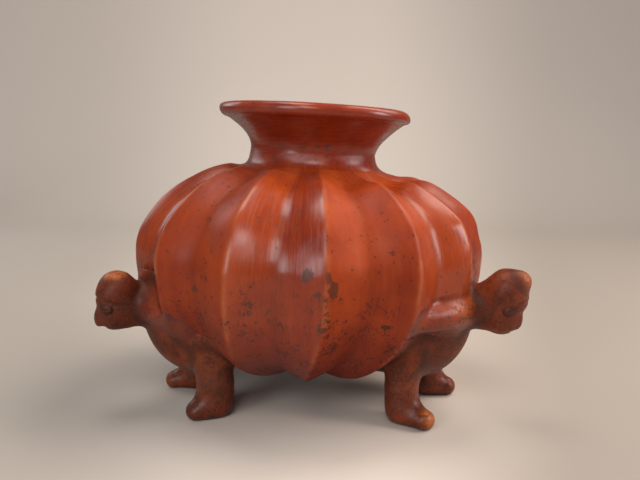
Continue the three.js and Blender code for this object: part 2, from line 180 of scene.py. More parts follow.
# The studio light: a strong soft scrim high at the right and a weak one in front, which light the clay but don't
# show in its burnish, and soft boxes all round that show as pale patches on the lobes, in an even grey room.
LIGHTS = [
    {"name": "key_scrim", "azimuth": 92, "height": 52, "size": (800, 800), "glow": 4.8,
     "colour": (1.0, 0.94, 0.86), "in_burnish": False},
    {"name": "front_scrim", "azimuth": -20, "height": 50, "distance": 1300, "size": (1200, 800), "glow": 0.3,
     "colour": (0.86, 0.96, 1.0), "in_burnish": False},
    {"name": "key_soft_box", "azimuth": 122, "height": 50, "size": (460, 720), "glow": 4.0,
     "colour": (1.0, 0.92, 0.82)},
    {"name": "overhead_soft_box", "azimuth": -110, "height": 78, "distance": 1250, "size": (500, 500), "glow": 5.6},
    {"name": "left_window_box", "azimuth": -36, "height": 17, "size": (480, 600), "glow": 4.7,
     "colour": (0.86, 0.96, 1.0)},
    {"name": "front_soft_box", "azimuth": -7, "height": 40, "size": (460, 520), "glow": 5.4},
    {"name": "right_soft_box", "azimuth": 81, "height": 22, "size": (430, 560), "glow": 7.0},
    {"name": "far_left_soft_box", "azimuth": -128, "height": 24, "size": (360, 560), "glow": 2.8,
     "colour": (0.86, 0.96, 1.0)},
]
LIGHT_AIM = np.array([0, -40, 120])
LIGHT_DISTANCE = 1200
for light in LIGHTS:
    lamp = bpy.data.lights.new(light["name"], "AREA")
    lamp.shape = "RECTANGLE"
    lamp.size, lamp.size_y = (side / 1000 for side in light["size"])
    lamp.energy = light["glow"] * math.pi * lamp.size * lamp.size_y
    lamp.color = light.get("colour", (1.0, 0.98, 0.96))
    around, up = math.radians(light["azimuth"]), math.radians(light["height"])
    way = np.array([math.sin(around) * math.cos(up), -math.cos(around) * math.cos(up), math.sin(up)])
    holder = bpy.data.objects.new(light["name"], lamp)
    holder.location = Vector(AXIS + LIGHT_AIM + way * light.get("distance", LIGHT_DISTANCE)) / 1000
    holder.rotation_euler = Vector(way).to_track_quat("Z", "Y").to_euler()
    holder.visible_glossy = light.get("in_burnish", True)
    bpy.context.scene.collection.objects.link(holder)
world = bpy.data.worlds.new("grey_room")
world.use_nodes = True
world.node_tree.nodes["Background"].inputs[0].default_value = hex_colour("#9FB6C6")
world.node_tree.nodes["Background"].inputs[1].default_value = 0.25
bpy.context.scene.world = world


# The gourd: a hollow body built up in coils of clay and pressed into fourteen lobes, each drawn to a keel. Its
# wall is 7 mm thick, and a ring is left open on the shoulder for the neck. The sizes are those of the CAD part.
CREST_RADIUS = 131.0
GIRTH_HEIGHT = 112.0
UNDERSIDE_HEIGHT = 19.0
BELLY_FLAT = 95.0  # how far the underside runs out level before it turns up
BELLY_UPRIGHT = 50.0  # how far below the girth the wall starts to turn in
SHOULDER_HEIGHT = 176.0
SHOULDER_UPRIGHT = 32.0
SHOULDER_FLAT = 38.0
LOBES = 14
LOBE_DEPTH = 9.5
LOBE_STEPS = 24  # points across a lobe
FRONT_CREST = -85.4  # degrees, the azimuth of the crest that faces the front
WALL = 7.0
LEAN = math.radians(1.6)
NECK_FOOT = 54.0
LOBE_RUNOUT = 17.0
DEPTH_FADE = 0.65  # how fast the valleys grow shallow as the lobes narrow towards the underside
BOTTOM_TWIST = 4.5  # degrees that the keels swing clockwise on their way down to the underside
TWIST_HEIGHTS = (95, 25)  # between which they swing
KEEL_ROUND = 0.075  # shares of half a lobe that the keel and the valley are rounded over
VALLEY_ROUND = 0.3
FLANK_SWELL = 0.25  # how much steeper a flank is at the valley than at the keel
# The potter's slips: how far each keel stands from its even place, in degrees, counterclockwise from the front
KEEL_SLIPS = [0.6, 1.8, -0.8, 0.9, -1.2, 0.5, 1.1, -0.7, 0.4, -1.3, 0.8, 1.0, -2.2, -1.2]


def bezier(points, steps):
    """Points along a cubic Bezier curve."""
    t = np.linspace(0, 1, steps)[:, None]
    a, b, c, d = np.array(points, float)
    return (1 - t) ** 3 * a + 3 * (1 - t) ** 2 * t * b + 3 * (1 - t) * t**2 * c + t**3 * d


def even_steps(points, count):
    """The same curve at even distances."""
    length = np.concatenate([[0], np.cumsum(np.linalg.norm(np.diff(points, axis=0), axis=1))])
    at = np.linspace(0, length[-1], count)
    return np.stack([np.interp(at, length, points[:, i]) for i in range(2)], 1)


# The outline in section, as radius and height: the belly, the shoulder and the hollow curve up to the neck's waist
NECK_WAIST = (47.5, SHOULDER_HEIGHT + 9)
JOINT_RADIUS = 64.0  # where the hollow curve starts
HOLLOW_DIP = 2.5
belly = bezier(
    [(0, UNDERSIDE_HEIGHT), (BELLY_FLAT, UNDERSIDE_HEIGHT), (CREST_RADIUS, GIRTH_HEIGHT - BELLY_UPRIGHT),
     (CREST_RADIUS, GIRTH_HEIGHT)], 400
)
shoulder = bezier(
    [(CREST_RADIUS, GIRTH_HEIGHT), (CREST_RADIUS, GIRTH_HEIGHT + SHOULDER_UPRIGHT),
     (NECK_FOOT + SHOULDER_FLAT, SHOULDER_HEIGHT), (NECK_FOOT, SHOULDER_HEIGHT)], 400
)
shoulder = shoulder[shoulder[:, 0] > JOINT_RADIUS]
hollow_level = SHOULDER_HEIGHT - HOLLOW_DIP
hollow = bezier(
    [shoulder[-1], (NECK_FOOT + 1, hollow_level), (NECK_WAIST[0] + 1, hollow_level), NECK_WAIST], 100
)
outline = even_steps(np.vstack([belly, shoulder[1:], hollow[1:]]), 420)
for _ in range(6):
    outline[1:-1] = (outline[:-2] + 2 * outline[1:-1] + outline[2:]) / 4


def smoothstep(low, high, x):
    """Eases from 0 at low to 1 at high."""
    t = np.clip((x - low) / (high - low), 0, 1)
    return t * t * (3 - 2 * t)


def valley_depth(points):
    """How deep the valleys are at points of the outline."""
    fade = (points[:, 0] / CREST_RADIUS) ** DEPTH_FADE
    near_neck = smoothstep(NECK_FOOT - 3, NECK_FOOT + LOBE_RUNOUT, points[:, 0])
    return LOBE_DEPTH * fade * np.where(points[:, 1] > GIRTH_HEIGHT, near_neck, 1)


# How far a flank has sunk from the keel to the valley, as shares of half a lobe's width and of the depth
flank_share = np.linspace(0, 1, 400)
flank_slope = smoothstep(0, KEEL_ROUND, flank_share) * smoothstep(0, VALLEY_ROUND, 1 - flank_share)
flank_slope = flank_slope * (1 + FLANK_SWELL * (2 * flank_share - 1))
flank_sink = np.cumsum(flank_slope) / flank_slope.sum()
keel_place = FRONT_CREST + 360 / LOBES * np.arange(LOBES + 1) + np.array(KEEL_SLIPS + KEEL_SLIPS[:1])


def azimuth_of(points):
    """Azimuths of points, in degrees."""
    return np.degrees(np.arctan2(points[:, 1], points[:, 0]))


def turned(x, y, angle):
    """Coordinates turned by an angle in radians."""
    return x * math.cos(angle) - y * math.sin(angle), x * math.sin(angle) + y * math.cos(angle)


def keel_twist(height):
    """How far the keels have swung at a height, in degrees."""
    return -BOTTOM_TWIST * smoothstep(*TWIST_HEIGHTS, height)


def lobe_at(azimuth, height):
    """The number of the keel at an azimuth, or the share of the way from one keel to the next."""
    untwisted = (azimuth - keel_twist(height) - keel_place[0]) % 360 + keel_place[0]
    return np.interp(untwisted, keel_place, np.arange(LOBES + 1))


def lobe_sink(azimuth, height):
    """How far the skin is sunk at an azimuth, as a share of the depth, and how far it is from the keel."""
    lobe = lobe_at(azimuth, height)
    from_keel = 2 * np.abs(lobe - np.round(lobe))
    return np.interp(from_keel, flank_share, flank_sink), from_keel


# The unevenness of the wall: waves of these lengths and sizes, two of each, that run in random directions
wave_random = np.random.default_rng(7)
waves = [
    (wave_random.normal(size=3), wave_random.uniform(0, 6.28), length, size)
    for length, size in [(70, 0.32), (52, 0.26), (40, 0.2), (30, 0.12), (21, 0.08), (15, 0.05), (11, 0.03)]
    for _ in range(2)
]


def hand_waves(points):
    """The slight unevenness of a wall that was shaped by hand, in millimetres."""
    total = np.zeros(len(points))
    for way, start, length, size in waves:
        total += size * np.sin(points @ (way / np.linalg.norm(way)) * (2 * math.pi / length) + start)
    return total


SAG_AZIMUTH = -15  # the wet shoulder sagged towards this side, and the wall below it swelled
SAG_DEPTH = 6.0
SAG_RADIUS = 69.0
SAG_REACH = 13.0
SWELL_DEPTH = 3.2
SWELL_HEIGHT = 142.0
SWELL_REACH = 14.0
SWELL_OUT, SWELL_UP = 0.8, 0.6  # shares of the swell


def slumped(points):
    """Moves points of the upright gourd with the sag and the swell of its shoulder."""
    level = np.maximum(np.hypot(points[:, 0], points[:, 1]), 1)
    way = np.radians(SAG_AZIMUTH)
    facing = (points[:, 0] * math.cos(way) + points[:, 1] * math.sin(way)) / level
    upper = smoothstep(GIRTH_HEIGHT, GIRTH_HEIGHT + 10, points[:, 2])
    sag = SAG_DEPTH * upper * smoothstep(-0.2, 1.1, facing) * np.exp(-(((level - SAG_RADIUS) / SAG_REACH) ** 2))
    swell = SWELL_DEPTH * upper * smoothstep(0.5, 1, facing)
    swell = swell * np.exp(-(((points[:, 2] - SWELL_HEIGHT) / SWELL_REACH) ** 2))
    moved = points * (1, 1, 0) * (SWELL_OUT * swell / level)[:, None]
    moved[:, 2] = SWELL_UP * swell - sag
    return points + moved


def leaned(points, direction=1):
    """Tips points with the gourd about the middle of its girth, or back upright."""
    x, z = turned(points[:, 0], points[:, 2] - GIRTH_HEIGHT, -direction * LEAN)
    return np.stack([x, points[:, 1], z + GIRTH_HEIGHT], 1)


def shell_faces(rows, sides, ring=False):
    """Faces between rows of points. A ring's last row meets its first, and a body's end rows meet the axis."""
    i = np.arange(rows if ring else rows - 1)[:, None] * sides
    j = np.arange(sides)[None, :]
    k = (j + 1) % sides
    above = (i + sides) % (rows * sides)
    quads = [tuple(quad) for quad in np.stack([i + j, i + k, above + k, above + j], -1).reshape(-1, 4)]
    if ring:
        return quads
    top, pairs = (rows - 1) * sides, [(int(a), int(b)) for a, b in zip(j[0], k[0])]
    low_cap = [(rows * sides, b, a) for a, b in pairs]
    return quads + low_cap + [(rows * sides + 1, top + a, top + b) for a, b in pairs]


# How thin and orange the slip is, and how dull, on the clockwise and the other flank of each lobe from the front on
FLANK_THIN = [
    (0.05, 0.7), (0.3, 0.6), (0.6, 0.5), (0.3, 0.6), (0.4, 0.3), (0.2, 0.7), (0.5, 0.3), (0.1, 0.6), (0.4, 0.5),
    (0.2, 0.5), (0.5, 0.3), (0.2, 0.35), (0.5, 0.25), (0.35, 0.75),
]
FLANK_DULL = [
    (0.0, 1.0), (0.8, 0.6), (0.0, 0.4), (0.3, 0.6), (0.4, 0.3), (0.5, 0.2), (0.1, 0.6), (0.4, 0.4), (0.2, 0.5),
    (0.6, 0.1), (0.3, 0.4), (0.2, 0.1), (0.1, 0.7), (0.7, 0.0),
]
# Stains left by the soil: degrees to the right of the front, height, and half their width and height
STAINS = [
    (0.2, 116.5, 3, 4.5), (5.4, 117, 2.6, 4), (6.8, 108.5, 3.6, 6.5), (3.2, 106, 2.2, 2.2), (4.7, 84, 3.0, 2.2),
    (-10, 92, 2.4, 2.2), (76, 120, 2.2, 5), (75, 111, 2, 4), (-64.8, 103, 3, 2.6), (-35, 100, 2.6, 3.4),
    (-15, 90, 2.2, 2.4), (25, 83, 2.6, 2.4), (-29, 190.5, 1.1, 1.6), (-10, 189.4, 2.6, 1.3), (2.5, 190.4, 1.8, 1.3),
    (10, 191.4, 2.3, 1.4), (-18, 191.6, 1.0, 1.0), (150, 96, 3, 4.5), (158, 88, 2.4, 2.6), (210, 120, 2.4, 3),
    (118, 84, 3, 2.6), (185, 70, 3, 2.4), (250, 104, 2.6, 4),
]
# Places where the mineral flecks gather, the same way
FLECK_CLUSTERS = [
    (-46, 87, 13, 9), (-39, 71, 17, 11), (-17, 98, 9, 12), (-15, 78, 14, 9), (-2, 64, 15, 9), (24, 80, 10, 9),
    (6, 88, 8, 14), (8, 70, 14, 8), (-62, 106, 9, 10), (32, 62, 13, 10), (-12, 148, 9, 9), (-40, 150, 9, 7),
    (76, 100, 8, 14), (28, 152, 9, 8), (105, 80, 18, 14), (140, 100, 14, 18), (172, 76, 18, 12),
    (205, 108, 13, 13), (232, 84, 17, 12), (262, 96, 13, 16),
]
# Painted shade on the gourd round the napes of the three bearers, where they are luted on, the same way
NAPE_SHADE = [(-67.5, 96, 17, 15), (63, 98, 16, 14), (179, 97, 16, 15)]
KEEL_RUB_AND_HIGHLIGHT = (0.1, 0.0)  # between these shares of half a lobe a keel's rubbed slip and painted highlight fade in, and a valley's painted shade
VALLEY_SHADE = (0.8, 1.0)
LOBED_FROM = (60, 78)  # and both fade in between these distances from the axis
THIN_HEIGHTS, THIN_SHARES = (30, 70, 105, 125, 170), (0, 0.3, 0.75, 1, 1)


def near_spots(points, spots):
    """How near points of the upright vessel are to a list of spots on its skin, from 0 to 1."""
    azimuth = azimuth_of(points) + 90
    level = np.hypot(points[:, 0], points[:, 1])
    near = np.zeros(len(points))
    for side, height, half_width, half_height in spots:
        away = np.radians((azimuth - side + 180) % 360 - 180) * level
        near = np.maximum(near, np.exp(-((away / half_width) ** 2) - ((points[:, 2] - height) / half_height) ** 2))
    return near


def flank_share_of(points, table):
    """A table's value for the flank that each point is on, eased across the keel and the valley."""
    lobe = lobe_at(azimuth_of(points), points[:, 2]) % LOBES
    values = np.array([side for lobe_sides in table for side in lobe_sides])
    stops = np.concatenate([[i - 0.46, i - 0.03, i + 0.03, i + 0.46] for i in range(LOBES + 1)])
    levels = np.repeat(np.concatenate([values, values[:2]]), 2)
    return np.interp(lobe, stops, levels)


def round_points(rows, azimuths):
    """Points round the axis, from rows of radius, height and swing in degrees."""
    points = []
    for radius, height, swing in rows:
        angle = np.radians(azimuths + swing)
        points.append(np.stack([radius * np.cos(angle), radius * np.sin(angle), height + 0 * angle], 1))
    return np.vstack(points)


def turned_shell(name, rows, azimuths, material, inner_from):
    """A closed shell of rows with its ends on the axis. The rows from number inner_from on are its unslipped
    inside."""
    points = round_points(rows, azimuths)
    sides = len(azimuths)
    points = np.vstack([points, [(0, 0, part[:, 2].mean()) for part in (points[:sides], points[-sides:])]])
    level = np.hypot(points[:, 0], points[:, 1])
    outward = points * (1, 1, 0) / np.maximum(level, 1)[:, None]
    lobed = smoothstep(*LOBED_FROM, level)
    from_keel = lobe_sink(azimuth_of(points), points[:, 2])[1]
    traits = {
        "thin": flank_share_of(points, FLANK_THIN) * np.interp(points[:, 2], THIN_HEIGHTS, THIN_SHARES),
        "dull": flank_share_of(points, FLANK_DULL),
        # the keels' rubbed slip, which also carries a painted highlight along them
        "keel": smoothstep(*KEEL_RUB_AND_HIGHLIGHT, from_keel) * lobed,
        # painted shade in the valleys and round the napes of the bearers
        "painted_shade": np.maximum(
            0.35 * smoothstep(*VALLEY_SHADE, from_keel) * lobed, 0.75 * near_spots(points, NAPE_SHADE)
        ),
        "stain": near_spots(points, STAINS),
        "cluster": near_spots(points, FLECK_CLUSTERS),
        "inner": np.arange(len(points)) >= len(azimuths) * inner_from,
    }
    points = leaned(slumped(points + outward * hand_waves(points)[:, None]))
    return mesh_object(name, points, shell_faces(len(rows), len(azimuths)), material, traits)


STROKE_SQUEEZE = 0.09  # the strokes are drawn out to eleven times their width
NECK_LEVELS = (180, 186)  # between which the strokes turn from running down to running round
SOLE_LEVELS = (50, 25)  # between which the figures' wear gives way to the rubbed feet


def burnished_slip(name):
    """Red iron slip rubbed with a pebble on earthenware: long strokes run down the lobes and round the neck, the
    colour is thin and orange on the upper flanks and lighter on the keels, where the slip is rubbed and a highlight is
    painted along them, painted shade darkens the valleys and seams, and dark flecks of manganese gather low down. On
    the figures it is worn to brown, dull and speckled."""
    material, tree = new_material(name)
    node = functools.partial(add_node, tree)
    times, plus, less, onto = ({"operation": word} for word in ("MULTIPLY", "ADD", "SUBTRACT", "MULTIPLY_ADD"))

    # The pebble's strokes are about 1.5 mm wide, a little coarser than real ones, so that they show.
    place = node("TexCoord", output="Object")
    height = node("Math", [node("SeparateXYZ", [place], output=2), 1000.0], **times)
    from_axis = node("VectorMath", [place, tuple(AXIS / 1000)], **less)
    level = node("VectorMath", [from_axis, (1, 1, 0)], **times)
    around = node("VectorMath", [level], operation="NORMALIZE")
    round_girth = node("VectorMath", {0: around, 3: CREST_RADIUS / 1000}, operation="SCALE")
    drawn_down = node("VectorMath", [from_axis, (0, 0, STROKE_SQUEEZE)], **times)
    down_lobes = node("VectorMath", [round_girth, drawn_down], **plus)
    round_neck = node("VectorMath", [from_axis, (STROKE_SQUEEZE, STROKE_SQUEEZE, 1.0)], **times)
    on_neck = node("MapRange", [height, *NECK_LEVELS], **SMOOTH)
    stroke_place = node("Mix", {0: on_neck, 4: down_lobes, 5: round_neck}, data_type="VECTOR", output=1)
    figure, keel, painted_shade, stain, inner, thin_flank, dull_flank, cluster = (
        node("Attribute", attribute_name=trait, output="Fac")
        for trait in ("figure", "keel", "painted_shade", "stain", "inner", "thin", "dull", "cluster")
    )

    # Each noise has its cell size in millimetres, its detail and its roughness.
    strokes, broad_strokes, patches, clouds, grain, keel_patches, soot, fleck_ground, specks, tatter = (
        node("TexNoise", {"Vector": where, "Scale": 1000 / size, "Detail": detail, "Roughness": rough})
        for where, size, detail, rough in (
            (stroke_place, 1.5, 4, 0.55), (stroke_place, 7, 3, 0.55), (place, 55, 2, 0.55), (place, 24, 4, 0.55),
            (place, 1.6, 3, 0.55), (place, 30, 3, 0.55), (place, 4.5, 4, 0.65), (place, 10, 4, 0.6),
            (place, 2.2, 3, 0.65), (place, 5, 4, 0.7),
        )
    )

    # Red slip, thick and dark, then thin and orange, deeper on the neck and low down, and worn off the keels, with a
    # painted highlight along them
    patchy = node("MapRange", [node("Math", [patches, clouds], **plus), 0.75, 1.15, 0.5, 1], **SMOOTH)
    thin = node("Math", [thin_flank, patchy], **times)
    at_lip = node("MapRange", [height, 212, 219], **SMOOTH)
    lip_part = node("Math", [at_lip, node("MapRange", [clouds, 0.3, 0.7, 0.1, 0.7], **SMOOTH)], **times)
    at_foot = node("MapRange", [height, 95, 40], **SMOOTH)
    low_part = node("Math", [at_foot, node("MapRange", [clouds, 0.25, 0.75, 0.35, 1], **SMOOTH)], **times)
    # the keels are lighter: rubbed slip, with a painted highlight along them
    keel_rub_and_highlight = node("Math", [keel, node("MapRange", [keel_patches, 0.42, 0.62, 0.05, 0.6], **SMOOTH)], **times)
    red = "#7E240D"
    for share, strength, code in (
        (node("MapRange", [clouds, 0.3, 0.7], **SMOOTH), 1, "#973310"),
        (node("MapRange", [broad_strokes, 0.42, 0.7], **SMOOTH), 0.35, "#A43D13"),
        (node("MapRange", [strokes, 0.5, 0.75], **SMOOTH), 0.2, "#B44A26"),
        (thin, 0.85, "#B44A1B"),
        (node("MapRange", [height, 181, 196], **SMOOTH), 0.3, "#7C2415"),
        (lip_part, 1, "#A2401F"),
        (low_part, 0.75, "#74291B"),
        (keel_rub_and_highlight, 1, "#BE5F34"),
    ):
        share = node("Math", [share, strength], **times)
        red = node("Mix", {0: share, 6: red, 7: code}, **COLOURS)

    # The figures' brown: slip worn to patches, bare clay in the thin places, and soot in the pores
    bare = node("Math", [clouds, 0.6, thin_flank], **onto)
    brown = "#6A2A15"
    for value, start, full, strength, code in (
        (clouds, 0.35, 0.7, 1, "#8E3D1E"),
        (patches, 0.55, 0.7, 0.6, "#96492A"),
        (bare, 0.5, 0.95, 1, "#B4602F"),
        (grain, 0.52, 0.75, 0.5, "#8E4A2C"),
        (soot, 0.5, 0.3, 0.6, "#3F2016"),
    ):
        share = node("MapRange", [value, start, full, 0, strength], **SMOOTH)
        brown = node("Mix", {0: share, 6: brown, 7: code}, **COLOURS)

    # Manganese flecks gather in zones, with lone dots between, and soil has left stains with tattered edges.
    fleck_zone = node("MapRange", [height, 135, 55, -0.04, 0.07], **SMOOTH)
    for value, weight in ((fleck_ground, 1), (cluster, 0.1), (figure, 0.05)):
        fleck_zone = node("Math", [value, weight, fleck_zone], **onto)
    in_zone = node("MapRange", [fleck_zone, 0.5, 0.6], **SMOOTH)
    speckle = node("MapRange", [node("Math", [fleck_zone, 0.6, specks], **onto), 0.91, 1], **SMOOTH)
    lone_cells = node("TexVoronoi", {"Vector": place, "Scale": 1000 / 6, "Randomness": 1})
    lone = node("MapRange", [node("Math", [grain, 0.5, lone_cells], **onto), 0.39, 0.33], **SMOOTH)
    fleck = node("Math", [node("Math", [speckle, in_zone], **times), lone], operation="MAXIMUM")
    fleck_strength = node("Math", [figure, -0.2, 0.72], **onto)
    stained = node("MapRange", [node("Math", [tatter, 1.9, stain], **onto), 1.3, 1.5], **SMOOTH)

    colour = red
    for share, strength, layer in (
        (figure, 1, brown),
        # painted shade in the valleys, along the seams, round the napes, under the chins and between the legs
        (painted_shade, 0.6, "#3A1B12"),
        (fleck, fleck_strength, "#38241C"),
        (stained, 0.72, "#4C2C22"),
        (inner, 1, "#6B3B28"),
    ):
        share = node("Math", [share, strength], **times)
        colour = node("Mix", {0: share, 6: colour, 7: layer}, **COLOURS)

    # Burnished slip is smooth and a little streaky. Wear, stains and flecks dull it, and the feet are rubbed again.
    dull = node("MapRange", [strokes, 0.35, 0.7, 0.22, 0.34], **SMOOTH)
    for value, weight in ((low_part, 0.16), (dull_flank, 0.26), (stained, 0.2), (fleck, 0.15)):
        dull = node("Math", [value, weight, dull], **onto)
    near_sole = node("MapRange", [height, *SOLE_LEVELS], **SMOOTH)
    worn_dull = node("Math", [near_sole, -0.16, node("MapRange", [grain, 0.3, 0.7, 0.42, 0.6], **SMOOTH)], **onto)
    roughness = node("Mix", {0: figure, 2: dull, 3: worn_dull})
    roughness = node("Math", [roughness, node("Math", [inner, 0.8], **times)], operation="MAXIMUM")
    gloss = node("Math", [dull_flank, -0.34, 0.5], **onto)
    worn_off = node("Math", [figure, node("Math", [near_sole, -0.1, 0.26], **onto)], **times)
    gloss = node("Math", [gloss, worn_off], **less)

    tool_marks = node("Math", [strokes, node("Math", [figure, -0.7, 1], **onto)], **times)
    relief = node("Math", [broad_strokes, 0.9], **times)
    for value, weight in ((tool_marks, 0.6), (node("Math", [grain, figure], **times), 1.6), (fleck, -0.35)):
        relief = node("Math", [value, weight, relief], **onto)
    bump = node("Bump", {"Height": relief, "Strength": 0.5, "Distance": 0.0002})
    surface = node(
        "BsdfPrincipled",
        {"Base Color": colour, "Roughness": roughness, "Normal": bump, "IOR": 1.5, "Specular IOR Level": gloss},
    )
    node("OutputMaterial", {"Surface": surface})
    return material


slip = burnished_slip("burnished_red_slip")


def lobed_rows(points, grow, azimuths):
    """Rows of the lobed skin for points of the outline, set in from it by -grow."""
    tangent = np.gradient(points, axis=0)
    tangent /= np.linalg.norm(tangent, axis=1)[:, None]
    depth = valley_depth(points)
    rows = []
    for (radius, height), (tr, tz), deep in zip(points, tangent, depth):
        sink = lobe_sink(azimuths + keel_twist(height), np.full(len(azimuths), height))[0]
        offset = grow - deep * sink
        rows.append((radius + tz * offset, height - tr * offset, keel_twist(height)))
    return rows


KEEL_CROWDING = 0.62  # how much closer the points round the gourd stand at the keels
step_share = np.arange(LOBE_STEPS) / LOBE_STEPS
step_share = step_share - KEEL_CROWDING * np.sin(2 * math.pi * step_share) / (2 * math.pi)
gourd_azimuths = np.interp(
    (np.arange(LOBES)[:, None] + step_share).ravel(), np.arange(LOBES + 1), keel_place
)
MOUTH_RADIUS = 44.0
GOURD_TOP = 51.5  # the radius at which the gourd ends under the neck's foot
gourd_outline = outline[(outline[:, 0] > GOURD_TOP) | (outline[:, 1] < GIRTH_HEIGHT)]
outer = lobed_rows(even_steps(gourd_outline[1:], 150), 0, gourd_azimuths)
inside_line = even_steps(gourd_outline[gourd_outline[:, 0] > 8], 60)
inner_rows = lobed_rows(inside_line, -WALL, gourd_azimuths)[::-1]
mouth_edge = [(MOUTH_RADIUS, SHOULDER_HEIGHT - down, 0) for down in (0.5, WALL - 1)]
gourd = turned_shell("vessel_gourd", outer + mouth_edge + inner_rows, gourd_azimuths, slip, len(outer))
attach(gourd, "root")
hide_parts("gourd")


# The neck: a collar of clay joined to the shoulder, waisted and flared by hand to a thick rounded lip. It is
# burnished round and round to a deeper red, and it dips a little to one side.
LIP_RADIUS = 72.0
LIP_THICKNESS = 9.5
NECK_TOP = SHOULDER_HEIGHT + 43.1
THROAT = 40.5
NECK_SIDES = 192
LIP_DIP = 1.1  # degrees
NECK_BOW = 2.4  # how far the collar is pushed towards +X between its waist and its lip
FOOT_LAP = 1.5  # how far the neck's foot runs out over the gourd, and how deep its edge is pressed in
FOOT_SINK = 0.3
BARE_THROAT = (6, 24)  # between these depths below the lip the slip gives way to bare clay
FOOT_FLECKS = (192, 186)  # and between these heights flecks gather at the foot
half_lip = LIP_THICKNESS / 2
waist_radius, waist_height = NECK_WAIST
flare = LIP_RADIUS - waist_radius
lip_foot = NECK_TOP - LIP_THICKNESS


def neck_level(share):
    """The height at a share of the way from the neck's waist to its top."""
    return waist_height + share * (NECK_TOP - waist_height)


neck_outside = bezier(
    [(waist_radius, waist_height), (waist_radius, neck_level(0.3)),
     (waist_radius + 0.4 * flare, waist_height + 0.77 * (lip_foot - waist_height)),
     (LIP_RADIUS - half_lip, lip_foot)], 60
)[1:]
round_lip = np.linspace(-math.pi / 2, math.pi / 2, 24)[1:]
neck_lip = np.array([LIP_RADIUS - half_lip, NECK_TOP - half_lip]) + half_lip * np.stack(
    [np.cos(round_lip), np.sin(round_lip)], 1
)
neck_inside = bezier(
    [(LIP_RADIUS - half_lip, NECK_TOP), (THROAT + 0.62 * flare, neck_level(0.85)), (THROAT, neck_level(0.4)),
     (THROAT, waist_height)], 50
)[1:]
neck_foot = outline[(outline[:, 0] < GOURD_TOP + FOOT_LAP) & (outline[:, 1] > GIRTH_HEIGHT)]
pressed = smoothstep(GOURD_TOP, GOURD_TOP + FOOT_LAP, neck_foot[:, 0]) * FOOT_SINK
sunk_foot = neck_foot - np.outer(pressed, (0.7, 0.7))
neck_line = np.vstack([sunk_foot, neck_outside, neck_lip, neck_inside])
neck_line = np.vstack([neck_line, [(THROAT + 2, SHOULDER_HEIGHT + 3), (MOUTH_RADIUS, SHOULDER_HEIGHT - 3)]])
neck_azimuths = np.arange(NECK_SIDES) * 360 / NECK_SIDES


def ring_shell(name, line, azimuths, material, inner_from):
    """A closed shell of revolution from an outline that goes round a ring's section, inside from inner_from on."""
    points = round_points([(radius, height, 0) for radius, height in line], azimuths)
    level = np.maximum(np.hypot(points[:, 0], points[:, 1]), 1)
    row = np.repeat(np.arange(len(line)), len(azimuths))
    traits = {
        "stain": near_spots(points, STAINS),
        "cluster": 0.3 * smoothstep(*FOOT_FLECKS, points[:, 2]),
        "inner": (row > inner_from) * smoothstep(*BARE_THROAT, NECK_TOP - points[:, 2]),
    }
    points += points * (1, 1, 0) * (hand_waves(points) / level)[:, None]
    share = np.clip((points[:, 2] - waist_height) / (NECK_TOP - waist_height), 0, 1)
    foot_share = smoothstep(waist_height, SHOULDER_HEIGHT, points[:, 2])[:, None]
    points = points + (slumped(points) - points) * foot_share
    points[:, 2] -= math.tan(math.radians(LIP_DIP)) * share * points[:, 0]
    points[:, 0] += NECK_BOW * np.sin(math.pi * share)
    return mesh_object(name, leaned(points), shell_faces(len(line), len(azimuths), True), material, traits)


inner_from = len(sunk_foot) + len(neck_outside) + len(neck_lip) // 2
neck = ring_shell("vessel_neck", neck_line, neck_azimuths, slip, inner_from)
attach(neck, "root")
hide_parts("neck")


# The clay of the whole figure group is worked out as one body of distances, so that the joints flow together as
# wet slip leaves them. This is the gourd's share of it: how far a point lies outside the lobed skin.
TABLE_STEP = 1.0
TABLE_RADII = 180
TABLE_HEIGHTS = 170


def outline_table():
    """For a grid of radii and heights: the distance to the outline, the lobe depth there, and its height."""
    radii, heights = np.meshgrid(np.arange(TABLE_RADII), np.arange(TABLE_HEIGHTS), indexing="ij")
    spots = np.stack([radii, heights], -1).reshape(-1, 2) * TABLE_STEP
    tangent = np.gradient(outline, axis=0)
    tangent /= np.linalg.norm(tangent, axis=1)[:, None]
    depth = valley_depth(outline)
    table = np.empty((len(spots), 3))
    for start in range(0, len(spots), 2000):
        part = spots[start : start + 2000]
        away = part[:, None, :] - outline[None, :, :]
        near = np.argmin((away**2).sum(-1), 1)
        away = away[np.arange(len(part)), near]
        outward = away[:, 0] * tangent[near, 1] - away[:, 1] * tangent[near, 0]
        size = np.linalg.norm(away, axis=1)
        table[start : start + 2000, 0] = np.where(size < 2, outward, np.copysign(size, outward))
        table[start : start + 2000, 1] = depth[near]
        table[start : start + 2000, 2] = outline[near, 1]
    return table.reshape(TABLE_RADII, TABLE_HEIGHTS, 3)


near_outline = outline_table()


def gourd_distance(points):
    """How far points lie outside the gourd, in millimetres."""
    upright = leaned(points, -1)
    radius = np.clip(np.hypot(upright[:, 0], upright[:, 1]) / TABLE_STEP, 0, TABLE_RADII - 1.001)
    height = np.clip(upright[:, 2] / TABLE_STEP, 0, TABLE_HEIGHTS - 1.001)
    i, j = radius.astype(int), height.astype(int)
    u, v = (radius - i)[:, None], (height - j)[:, None]
    low = near_outline[i, j] * (1 - v) + near_outline[i, j + 1] * v
    high = near_outline[i + 1, j] * (1 - v) + near_outline[i + 1, j + 1] * v
    distance, depth, level = (low * (1 - u) + high * u).T
    return distance + depth * lobe_sink(azimuth_of(upright), level)[0] - hand_waves(upright)


def ellipsoid(points, centre, radii):
    """How far points lie outside an ellipsoid, about."""
    away = (points - centre) / radii
    near = np.linalg.norm(away, axis=1)
    steep = np.linalg.norm(away / radii, axis=1)
    return near * (near - 1) / np.maximum(steep, 1e-6)


